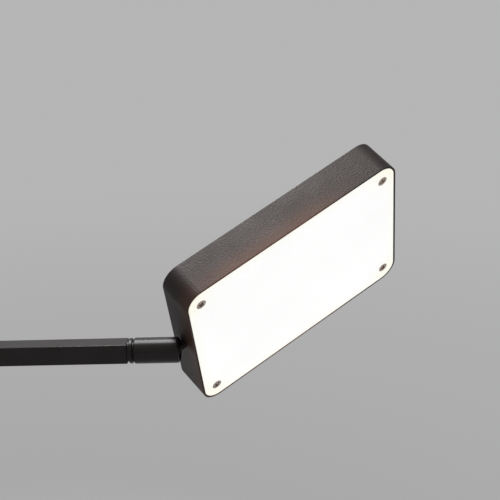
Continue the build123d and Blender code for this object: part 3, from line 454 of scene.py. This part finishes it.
FINISHES: dict[str, Finish] = {finish.name: finish for finish in (
    PowderCoat("powder_coat"),
    # The head's coat carries a painted warm glow by its lit face.
    PaintedGlowCoat("head_coat_painted_glow"),
    Finish("satin_black", (0.0175, 0.0138, 0.0132), (0.025, 0.0208, 0.0202), (0.26, 0.33),
           grain_size=0.0005, grain_height=0.000006, edge=0.0004, specular=0.265),
    OpalPlate("opal_plate", (0.95, 0.949, 0.945), (0.97, 0.97, 0.967), (0.3, 0.4),
              patch=0.05, grain_height=0.000003, edge=0.0002),
    Finish("dark_screw", (0.56, 0.47, 0.41), (0.74, 0.64, 0.57), (0.2, 0.32), 1.0,
           patch=0.002, grain_size=0.0003, grain_height=0.000006, edge=0.0002),
    Finish("bright_steel", (0.5, 0.5, 0.5), (0.64, 0.64, 0.63), (0.25, 0.4), 1.0,
           patch=0.004, grain=Grain.DRAWN, grain_height=0.000006, edge=0.0002),
    Finish("weight_steel", (0.24, 0.24, 0.245), (0.4, 0.39, 0.38), (0.4, 0.6), 1.0,
           patch=0.015, grain=Grain.DRAWN),
    Finish("black_rubber", (0.018, 0.018, 0.018), (0.035, 0.035, 0.034), (0.75, 0.9),
           grain_size=0.0006, grain_height=0.00004),
    Finish("plain_aluminium", (0.72, 0.73, 0.74), (0.84, 0.84, 0.84), (0.3, 0.42), 1.0,
           grain=Grain.DRAWN, grain_height=0.000008),
    Finish("white_board", (0.8, 0.8, 0.78), (0.88, 0.88, 0.86), (0.35, 0.45), grain_height=0.000005),
    Finish("green_board", (0.02, 0.16, 0.06), (0.035, 0.22, 0.09), (0.3, 0.4),
           patch=0.006, grain_height=0.00001),
    Finish("lamp_yellow", (0.85, 0.68, 0.18), (0.92, 0.78, 0.28), (0.2, 0.3),
           patch=0.001, grain_height=0.000004, edge=0.0001),
    Finish("white_plastic", (0.82, 0.82, 0.8), (0.88, 0.88, 0.86), (0.4, 0.5), grain_height=0.00001),
    Finish("nylon", (0.74, 0.72, 0.64), (0.82, 0.8, 0.73), (0.4, 0.5), grain_height=0.000008),
    Finish("black_plastic", (0.02, 0.02, 0.02), (0.035, 0.035, 0.034), (0.38, 0.5), grain_height=0.00002),
    Finish("brass_post", (0.6, 0.42, 0.16), (0.74, 0.55, 0.24), (0.2, 0.32), 1.0,
           patch=0.003, grain_height=0.000006),
)}

OWN_FINISH: dict[str, str] = {"head_housing": "head_coat_painted_glow"}


@dataclass
class Wardrobe:
    """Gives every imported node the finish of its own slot."""

    materials: dict[str, bpy.types.Material] = field(default_factory=dict)

    def material(self, slot: str) -> bpy.types.Material:
        """Returns the material of a slot, made once."""
        if slot not in self.materials:
            self.materials[slot] = FINISHES[slot].material()
        return self.materials[slot]

    def dress_nodes(self) -> None:
        """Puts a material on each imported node."""
        for entry in frame["record"]["subparts"]:
            node = frame["nodes"][entry["node"]]
            node.data.materials.clear()
            finish = OWN_FINISH.get(entry["node"], entry["material_slot"])
            node.data.materials.append(self.material(finish))
            log.info("dressed %s in %s", node.name, finish)


@dataclass
class FaceScrews:
    """Four raised countersunk screws with tapered cross recesses, flush with the lit face.

    Attributes:
        axes: the head's axes.
        head: diameter of the head.
        shank: diameter of the shank.
        length: from the face to the tip.
        rise: how far the head's middle stands above its rim.
        recess: length, width and depth of the cross.
        taper: share of the cross left at its floor.
        inner: radius of the ring round the cross, as a share of the cross's length.
        segments: sides round the head.
        turns: how far each cross is turned, in degrees.
        tip_start: radius where the tip's chamfer starts, as a share of the shank's.
        tip_end: radius at its end, as the same share.
        tip_length: length of the chamfer, as the same share.
        sharp_from: edges bent by more degrees than this stay sharp.
        weld: points nearer than this are merged.
    """

    axes: HeadAxes
    head: float = 6.5 * MM
    shank: float = 3.5 * MM
    length: float = 12.0 * MM
    rise: float = 0.45 * MM
    recess: tuple[float, float, float] = (3.8 * MM, 1.1 * MM, 1.8 * MM)
    taper: float = 0.6
    inner: float = 0.56
    segments: int = 48
    turns: tuple[float, ...] = (12.0, 57.0, 31.0, 74.0)
    tip_start: float = 0.98
    tip_end: float = 0.6
    tip_length: float = 0.25
    sharp_from: float = 35.0
    weld: float = MM / 1000

    def places(self) -> list[tuple[float, float]]:
        """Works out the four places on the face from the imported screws.

        Returns:
            The x and y of each screw on the head's axes.
        """
        turn, centre = self.axes.turn(), self.axes.centre
        points = [turn @ (vertex.co - centre) for vertex in frame["nodes"]["diffuser_screws"].data.vertices]
        x = max(point.x for point in points) - self.head / 2
        y = max(point.y for point in points) - self.head / 2
        return [(x, y), (-x, y), (-x, -y), (x, -y)]

    def cross(self, mesh: bmesh.types.BMesh) -> list[bmesh.types.BMEdge]:
        """Makes the tapered recess at the origin, sunk along +Z.

        Args:
            mesh: the mesh that it goes into.

        Returns:
            The edges of its open mouth.
        """
        length, width, depth = self.recess
        cells = 3
        grid = bmesh.ops.create_grid(mesh, x_segments=cells, y_segments=cells, size=length / 2)["verts"]
        for axis in (0, 1):
            inner = [vertex for vertex in grid if abs(vertex.co[axis]) < length / 4]
            scale = [1.0, 1.0, 1.0]
            scale[axis] = width / (length / cells)
            bmesh.ops.scale(mesh, vec=scale, verts=inner)
        corners = [face for face in mesh.faces
                   if all(abs(value) > width / 2 for value in face.calc_center_median().xy)]
        bmesh.ops.delete(mesh, geom=corners, context="FACES")
        mouth = [edge for edge in mesh.edges if edge.is_boundary]
        flat = mesh.faces[:]
        floor = bmesh.ops.extrude_face_region(mesh, geom=flat)["geom"]
        bmesh.ops.delete(mesh, geom=flat, context="FACES")
        sunk = [item for item in floor if isinstance(item, bmesh.types.BMVert)]
        bmesh.ops.scale(mesh, vec=(self.taper, self.taper, 1.0), verts=sunk)
        bmesh.ops.translate(mesh, vec=(0.0, 0.0, depth), verts=sunk)
        return mouth

    def ring(self, mesh: bmesh.types.BMesh, edges: list[bmesh.types.BMEdge], radius: float,
             new_radius: float, step: float) -> list[bmesh.types.BMEdge]:
        """Draws a ring of edges on to a new radius and along +Z.

        Args:
            mesh: the mesh being built.
            edges: the ring to go on from.
            radius: its radius.
            new_radius: the next ring's radius.
            step: how far along +Z the next ring lies.

        Returns:
            The new ring's edges.
        """
        drawn = bmesh.ops.extrude_edge_only(mesh, edges=edges)["geom"]
        points = [item for item in drawn if isinstance(item, bmesh.types.BMVert)]
        bmesh.ops.scale(mesh, vec=(new_radius / radius, new_radius / radius, 1.0), verts=points)
        bmesh.ops.translate(mesh, vec=(0.0, 0.0, step), verts=points)
        return [item for item in drawn if isinstance(item, bmesh.types.BMEdge)]

    def one(self) -> bmesh.types.BMesh:
        """Makes one screw on the head's axes, its head towards -Z.

        Returns:
            The screw's mesh.
        """
        mesh = bmesh.new()
        mouth = self.cross(mesh)
        radius, shank, inner = self.head / 2, self.shank / 2, self.recess[0] * self.inner
        circle = bmesh.ops.create_circle(mesh, radius=inner, segments=self.segments)["verts"]
        hoop = list({edge for vertex in circle for edge in vertex.link_edges})
        bmesh.ops.triangle_fill(mesh, use_beauty=True, use_dissolve=False, edges=mouth + hoop)
        between = (inner + radius) / 2
        rim = self.ring(mesh, self.ring(mesh, hoop, inner, between, 0.0), between, radius, 0.0)
        for vertex in mesh.verts:
            if vertex.co.z < self.recess[2] / 2:
                vertex.co.z = -self.rise * (1.0 - (vertex.co.xy.length / radius) ** 2)
        cone = radius - shank
        neck = self.ring(mesh, rim, radius, shank, cone)
        start, chamfer = shank * self.tip_start, shank * self.tip_length
        tip = self.ring(mesh, neck, shank, start, self.length - cone - chamfer)
        end = self.ring(mesh, tip, start, shank * self.tip_end, chamfer)
        bmesh.ops.edgeloop_fill(mesh, edges=end)
        bmesh.ops.remove_doubles(mesh, verts=mesh.verts, dist=self.weld)
        bmesh.ops.recalc_face_normals(mesh, faces=mesh.faces)
        return mesh

    def build(self) -> bpy.types.Object:
        """Makes the four screws as one piece.

        Returns:
            The screws' object.
        """
        data = bpy.data.meshes.new("face_screws")
        whole = bmesh.new()
        for (x, y), degrees in zip(self.places(), self.turns):
            screw = self.one()
            place = Matrix.Translation((x, y, 0.0)) @ Matrix.Rotation(math.radians(degrees), 4, "Z")
            bmesh.ops.transform(screw, matrix=self.axes.place() @ place, verts=screw.verts)
            screw.to_mesh(data)
            whole.from_mesh(data)
            screw.free()
        whole.to_mesh(data)
        whole.free()
        data.shade_smooth()
        data.set_sharp_from_angle(angle=math.radians(self.sharp_from))
        screws = bpy.data.objects.new("face_screws", data)
        bpy.context.scene.collection.objects.link(screws)
        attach(screws, "head")
        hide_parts("diffuser_screws")
        log.info("built %s", screws.name)
        return screws


@dataclass(frozen=True)
class SoftLight:
    """A rectangular soft light, hung round the head at a distance and angles.

    Attributes:
        name: the light's name.
        size: its sides in metres.
        distance: from the tilt pin in metres.
        lean: degrees from straight overhead towards the back.
        turn: degrees to the arm's side.
        power: in watts.
    """

    name: str
    size: tuple[float, float]
    distance: float
    lean: float
    turn: float
    power: float

    def hang(self, centre: Vector) -> None:
        """Makes the light, facing the given place.

        Args:
            centre: what the light faces.
        """
        data = bpy.data.lights.new(self.name, "AREA")
        data.shape = "RECTANGLE"
        data.size, data.size_y = self.size
        data.energy = self.power
        lamp = bpy.data.objects.new(self.name, data)
        bpy.context.scene.collection.objects.link(lamp)
        lean, turn = math.radians(self.lean), math.radians(self.turn)
        side, back = -math.sin(turn) * math.sin(lean), math.cos(turn) * math.sin(lean)
        towards = Vector((side, back, math.cos(lean)))
        lamp.location = centre + towards * self.distance
        lamp.rotation_euler = towards.to_track_quat("Z", "Y").to_euler()


def background_rays(tree: bpy.types.NodeTree) -> bpy.types.NodeSocket:
    """Adds the nodes that are one for camera, mirror and glass rays, which show the background's grey.

    Args:
        tree: the floor's or the world's node tree.

    Returns:
        The result's socket.
    """
    path = tree.nodes.new("ShaderNodeLightPath")
    seen = path.outputs["Is Camera Ray"]
    for name in ("Is Glossy Ray", "Is Transmission Ray"):
        node = tree.nodes.new("ShaderNodeMath")
        node.operation = "MAXIMUM"
        tree.links.new(seen, node.inputs[0])
        tree.links.new(path.outputs[name], node.inputs[1])
        seen = node.outputs["Value"]
    return seen


@dataclass
class Studio:
    """Plain pale floor, one soft light overhead, a weak one behind, and the camera.

    Attributes:
        floor_radius: radius of the floor disc.
        floor_sides: sides round the disc.
        floor_colour: the floor that takes the light and the shadow.
        floor_gloss: the floor's roughness and specular level.
        grey_near: the grey that is seen near the lamp, painted darker there as painted shade.
        grey_far: the grey that is seen further out.
        shadow_reach: the seen grey starts here, and inside it the lit floor shows alone.
        grey_from: the seen grey is full from here.
        grey_to: the seen grey is the far one from here.
        backdrop_from: the far grey starts to turn into the backdrop's here.
        backdrop: the grey past the floor.
        softbox: the light overhead.
        strip: the light behind.
        ambient: strength of the light all round.
        head_reach: from the tilt pin to what the softbox faces.
        azimuth: the camera's, in radians.
        elevation: the camera's, in radians.
        roll: the camera's, in radians.
        focal_pixels: focal length in pixels.
        frame_pixels: width of the picture in pixels.
        sensor: width of the sensor in millimetres.
        pivot_in_view: place of the tilt pin on the camera's axes.
    """

    floor_radius: float = 9.0
    floor_sides: int = 96
    floor_colour: Colour = (0.57, 0.57, 0.573)
    floor_gloss: tuple[float, float] = (0.9, 0.1)
    grey_near: Colour = (0.385, 0.385, 0.387)
    grey_far: Colour = (0.467, 0.467, 0.467)
    shadow_reach: float = 0.26
    grey_from: float = 0.4
    grey_to: float = 1.3
    backdrop_from: float = 3.6
    backdrop: Colour = (0.34, 0.34, 0.342)
    softbox: SoftLight = SoftLight("softbox", (0.24, 0.34), 0.5, 14.0, 0.0, 3.5)
    strip: SoftLight = SoftLight("strip", (0.7, 0.35), 1.5, 62.0, 18.0, 0.59)
    ambient: float = 0.3
    head_reach: Vector = field(default_factory=lambda: Vector((-0.062, 0.055, 0.03)))
    azimuth: float = math.radians(4.767)
    elevation: float = math.radians(19.003)
    roll: float = math.radians(-3.104)
    focal_pixels: float = 1395.0
    frame_pixels: float = 500.0
    sensor: float = 36.0
    pivot_in_view: Vector = field(default_factory=lambda: Vector((-44.44, -58.75, -821.1)) * MM)

    def pivot(self) -> Vector:
        """Returns the place of the tilt pin, which the light and the camera are set from."""
        return Vector(joint("head_tilt")["pos_m"])

    def floor(self) -> None:
        """Makes the floor disc, its seen grey painted a little darker near the lamp as painted shade."""
        mesh = bmesh.new()
        bmesh.ops.create_circle(mesh, cap_ends=True, radius=self.floor_radius, segments=self.floor_sides)
        data = bpy.data.meshes.new("studio_floor")
        mesh.to_mesh(data)
        mesh.free()
        floor = bpy.data.objects.new("studio_floor", data)
        bpy.context.scene.collection.objects.link(floor)
        data.materials.append(self.floor_finish())

    def floor_finish(self) -> bpy.types.Material:
        """Builds the floor's material, lit near the lamp and a seen grey further out, painted darker towards the
        lamp as painted shade.

        Returns:
            The new material.
        """
        graph = Graph("studio_floor")
        length = graph.tree.nodes.new("ShaderNodeVectorMath")
        length.operation = "LENGTH"
        graph.link(graph.coordinates.outputs["Object"], length.inputs[0])
        out = length.outputs["Value"]
        roughness, specular = self.floor_gloss
        graph.shader.inputs["Base Color"].default_value = (*self.floor_colour, 1.0)
        graph.set(Roughness=roughness, Specular_IOR_Level=specular)
        away = graph.mapped(out, (self.shadow_reach, self.grey_from))
        tone = graph.mapped(out, (self.shadow_reach, self.grey_to))
        # Painted shade: the seen grey is darker near the lamp and lighter further out.
        greys = graph.ramp(tone, (0.0, self.grey_near), (1.0, self.grey_far))
        beyond = graph.faded(out, self.floor_radius, self.backdrop_from)
        seen = graph.tree.nodes.new("ShaderNodeEmission")
        graph.link(graph.mixed(beyond, greys, self.backdrop), seen.inputs["Color"])
        mix = graph.tree.nodes.new("ShaderNodeMixShader")
        share = graph.math("MULTIPLY", background_rays(graph.tree), away)
        graph.link(share, mix.inputs["Fac"])
        graph.link(graph.shader.outputs["BSDF"], mix.inputs[1])
        graph.link(seen.outputs["Emission"], mix.inputs[2])
        graph.link(mix.outputs["Shader"], graph.output.inputs["Surface"])
        return graph.material

    def surroundings(self) -> None:
        """Even grey light all round, and the grey that shows past the floor."""
        world = bpy.data.worlds.new("studio")
        bpy.context.scene.world = world
        world.use_nodes = True
        tree = world.node_tree
        tree.nodes.clear()
        output = tree.nodes.new("ShaderNodeOutputWorld")
        mix = tree.nodes.new("ShaderNodeMixShader")
        glow = tree.nodes.new("ShaderNodeBackground")
        glow.inputs["Color"].default_value = (1.0, 1.0, 1.0, 1.0)
        glow.inputs["Strength"].default_value = self.ambient
        seen = tree.nodes.new("ShaderNodeBackground")
        seen.inputs["Color"].default_value = (*self.backdrop, 1.0)
        tree.links.new(background_rays(tree), mix.inputs["Fac"])
        tree.links.new(glow.outputs["Background"], mix.inputs[1])
        tree.links.new(seen.outputs["Background"], mix.inputs[2])
        tree.links.new(mix.outputs["Shader"], output.inputs["Surface"])

    def camera(self) -> None:
        """Sets the camera so that the tilt pin lies at its place in the view."""
        back = Vector((math.sin(self.azimuth) * math.cos(self.elevation),
                       -math.cos(self.azimuth) * math.cos(self.elevation), math.sin(self.elevation)))
        level = Vector((math.cos(self.azimuth), math.sin(self.azimuth), 0.0))
        turn = Matrix.Rotation(self.roll, 3, back)
        right = turn @ level
        up = back.cross(right)
        axes = Matrix((right, up, back)).transposed()
        data = bpy.data.cameras.new("camera")
        data.sensor_width = self.sensor
        data.lens = self.sensor * self.focal_pixels / self.frame_pixels
        camera = bpy.data.objects.new("camera", data)
        bpy.context.scene.collection.objects.link(camera)
        camera.matrix_world = Matrix.Translation(self.pivot() - axes @ self.pivot_in_view) @ axes.to_4x4()
        bpy.context.scene.camera = camera

    def build(self) -> None:
        """Makes the whole studio."""
        self.floor()
        self.softbox.hang(self.pivot() + self.head_reach)
        self.strip.hang(self.pivot())
        self.surroundings()
        self.camera()
        view = bpy.context.scene.view_settings
        view.view_transform = "Standard"
        log.info("studio ready")


def main() -> None:
    """Builds the lamp's looks in order."""
    logging.basicConfig(level=logging.INFO)
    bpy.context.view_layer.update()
    wardrobe = Wardrobe()
    wardrobe.dress_nodes()
    screws = FaceScrews(HeadAxes.measured()).build()
    screws.data.materials.append(wardrobe.material("dark_screw"))
    Studio().build()


if __name__ == "__main__":
    main()
